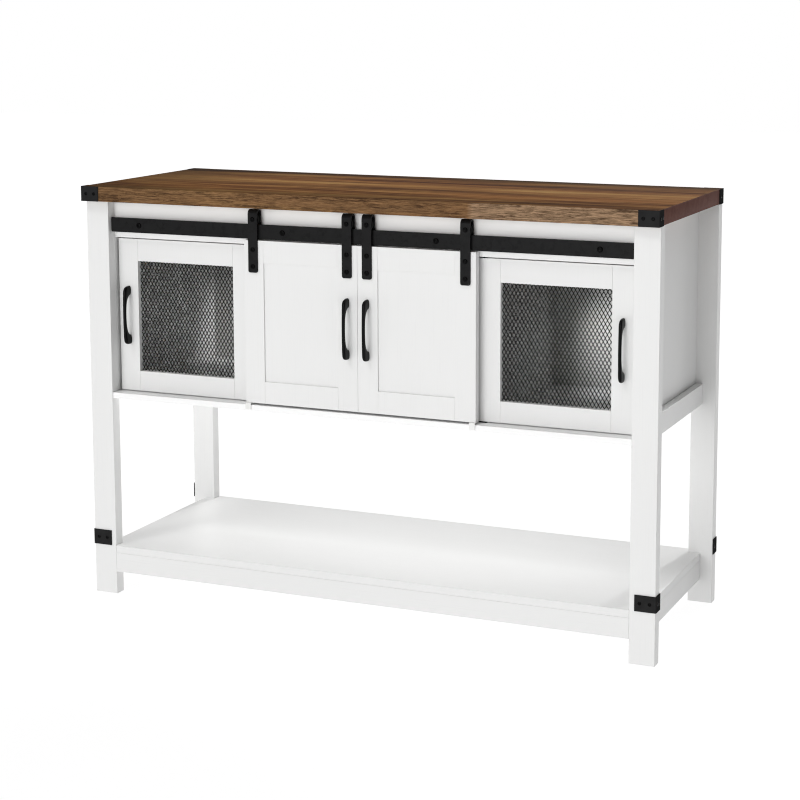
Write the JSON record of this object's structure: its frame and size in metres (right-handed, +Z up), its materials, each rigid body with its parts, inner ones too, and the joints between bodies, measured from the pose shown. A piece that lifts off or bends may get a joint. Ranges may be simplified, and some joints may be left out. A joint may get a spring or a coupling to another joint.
{
  "type": "sideboard buffet",
  "caption": "Farmhouse sideboard with a walnut top, two sliding barn doors, a hinged mesh door at each end and an open lower shelf.",
  "frame": {"origin": "on the floor under the middle of the top", "axes": "+X to the right along the length as seen from the front, -Y out of the front, +Z up"},
  "size_m": [1.202, 0.452, 0.842],
  "materials": {
    "walnut_top": "walnut wood-grain laminate, low sheen",
    "white_paint": "white painted board, satin",
    "white_inside": "white laminated board, matt",
    "black_steel": "black powder coat, satin",
    "black_gloss": "black lacquered casting, glossy",
    "mesh_steel": "black coated expanded metal",
    "white_nylon": "white moulded plastic"
  },
  "bodies": {
    "cabinet": {"tabletop": "walnut_top", "front_left_leg": "white_paint", "front_left_top_bracket": "black_steel", "front_left_leg_bracket": "black_steel", "front_right_leg": "white_paint", "front_right_top_bracket": "black_steel", "front_right_leg_bracket": "black_steel", "rear_left_leg": "white_paint", "rear_left_top_bracket": "black_steel", "rear_left_leg_bracket": "black_steel", "rear_right_leg": "white_paint", "rear_right_top_bracket": "black_steel", "rear_right_leg_bracket": "black_steel", "lower_shelf": "white_paint", "shelf_front_rail": "white_paint", "shelf_rear_rail": "white_paint", "shelf_left_rail": "white_paint", "shelf_right_rail": "white_paint", "cabinet_floor": "white_paint", "front_apron": "white_paint", "back_panel": "white_inside", "left_side_panel": "white_paint", "left_side_rail": "white_paint", "left_divider": "white_inside", "right_side_panel": "white_paint", "right_side_rail": "white_paint", "right_divider": "white_inside", "barn_track": "black_steel", "track_bolt_1": "black_steel", "track_bolt_2": "black_steel", "track_bolt_3": "black_steel", "track_bolt_4": "black_steel", "left_catch": "white_nylon", "left_mesh_pivot_lower": "black_steel", "left_mesh_pivot_upper": "black_steel", "right_catch": "white_nylon", "right_mesh_pivot_lower": "black_steel", "right_mesh_pivot_upper": "black_steel"},
    "left_barn_door": {"left_barn_frame": "white_paint", "left_barn_panel": "white_paint", "left_barn_handle": "black_gloss", "left_barn_hanger_inner": "black_steel", "left_barn_hanger_outer": "black_steel", "left_barn_guide": "white_nylon"},
    "left_barn_wheel_inner": {"left_barn_roller_inner": "black_steel"},
    "left_barn_wheel_outer": {"left_barn_roller_outer": "black_steel"},
    "left_mesh_door": {"left_mesh_frame": "white_paint", "left_mesh_sheet": "mesh_steel", "left_mesh_handle": "black_gloss"},
    "right_barn_door": {"right_barn_frame": "white_paint", "right_barn_panel": "white_paint", "right_barn_handle": "black_gloss", "right_barn_hanger_inner": "black_steel", "right_barn_hanger_outer": "black_steel", "right_barn_guide": "white_nylon"},
    "right_barn_wheel_inner": {"right_barn_roller_inner": "black_steel"},
    "right_barn_wheel_outer": {"right_barn_roller_outer": "black_steel"},
    "right_mesh_door": {"right_mesh_frame": "white_paint", "right_mesh_sheet": "mesh_steel", "right_mesh_handle": "black_gloss"}
  },
  "joints": [
    {"name": "left_barn_slide", "type": "slide", "parent": "cabinet", "child": "left_barn_door", "axis": [1, 0, 0], "range_m": [-0.26, 0]},
    {"name": "left_barn_wheel_inner_spin", "type": "hinge", "parent": "left_barn_door", "child": "left_barn_wheel_inner", "pos_m": [-0.021, -0.197, 0.789], "axis": [0, 1, 0], "continuous": true},
    {"name": "left_barn_wheel_outer_spin", "type": "hinge", "parent": "left_barn_door", "child": "left_barn_wheel_outer", "pos_m": [-0.2225, -0.197, 0.789], "axis": [0, 1, 0], "continuous": true},
    {"name": "left_mesh_hinge", "type": "hinge", "parent": "cabinet", "child": "left_mesh_door", "pos_m": [-0.248, -0.1745, 0.58], "axis": [0, 0, 1], "range_deg": [0, 90]},
    {"name": "right_barn_slide", "type": "slide", "parent": "cabinet", "child": "right_barn_door", "axis": [-1, 0, 0], "range_m": [-0.26, 0]},
    {"name": "right_barn_wheel_inner_spin", "type": "hinge", "parent": "right_barn_door", "child": "right_barn_wheel_inner", "pos_m": [0.021, -0.197, 0.789], "axis": [0, -1, 0], "continuous": true},
    {"name": "right_barn_wheel_outer_spin", "type": "hinge", "parent": "right_barn_door", "child": "right_barn_wheel_outer", "pos_m": [0.2225, -0.197, 0.789], "axis": [0, -1, 0], "continuous": true},
    {"name": "right_mesh_hinge", "type": "hinge", "parent": "cabinet", "child": "right_mesh_door", "pos_m": [0.248, -0.1745, 0.58], "axis": [0, 0, -1], "range_deg": [0, 90]}
  ],
  "couplings": [
    {"joint": "left_barn_wheel_inner_spin", "follows": "left_barn_slide", "rad_per_m": 103.09},
    {"joint": "left_barn_wheel_outer_spin", "follows": "left_barn_slide", "rad_per_m": 103.09},
    {"joint": "right_barn_wheel_inner_spin", "follows": "right_barn_slide", "rad_per_m": 103.09},
    {"joint": "right_barn_wheel_outer_spin", "follows": "right_barn_slide", "rad_per_m": 103.09}
  ]
}
